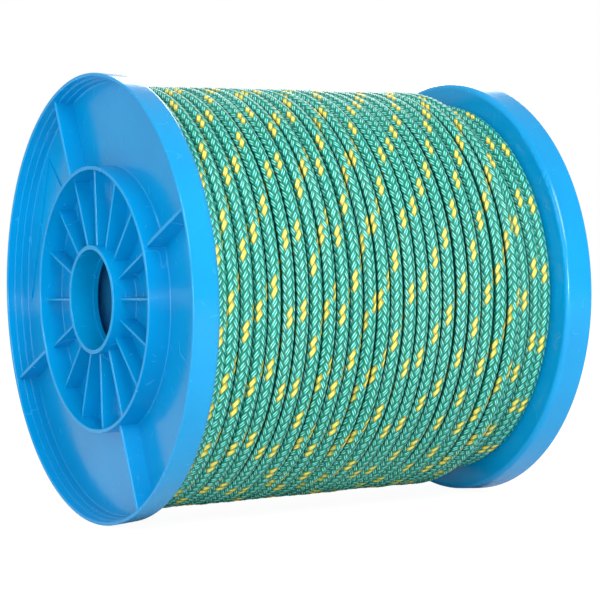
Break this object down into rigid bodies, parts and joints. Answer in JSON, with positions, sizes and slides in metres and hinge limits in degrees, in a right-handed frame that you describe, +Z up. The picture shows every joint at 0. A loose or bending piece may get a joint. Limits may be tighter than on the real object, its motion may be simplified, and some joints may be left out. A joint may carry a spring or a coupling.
{
  "type": "rope reel",
  "caption": "Moulded plastic reel with two ribbed flanges snapped onto a barrel tube, filled with braided rope; turns on a spindle through its central bore.",
  "frame": {"origin": "centre of the reel, on its axis and midway between the flanges", "axes": "+Y along the reel's axis towards the right flange, +Z up with the reel lying on its two rims"},
  "size_m": [0.25, 0.252, 0.25],
  "materials": {
    "flange_plastic": "moulded polypropylene, glossy blue",
    "barrel_plastic": "extruded polypropylene tube, satin blue",
    "rope": "braided multifilament polypropylene, green with yellow flecks"
  },
  "bodies": {
    "root": {"left_flange": "flange_plastic", "right_flange": "flange_plastic", "barrel": "barrel_plastic", "rope_winding": "rope"}
  },
  "joints": []
}
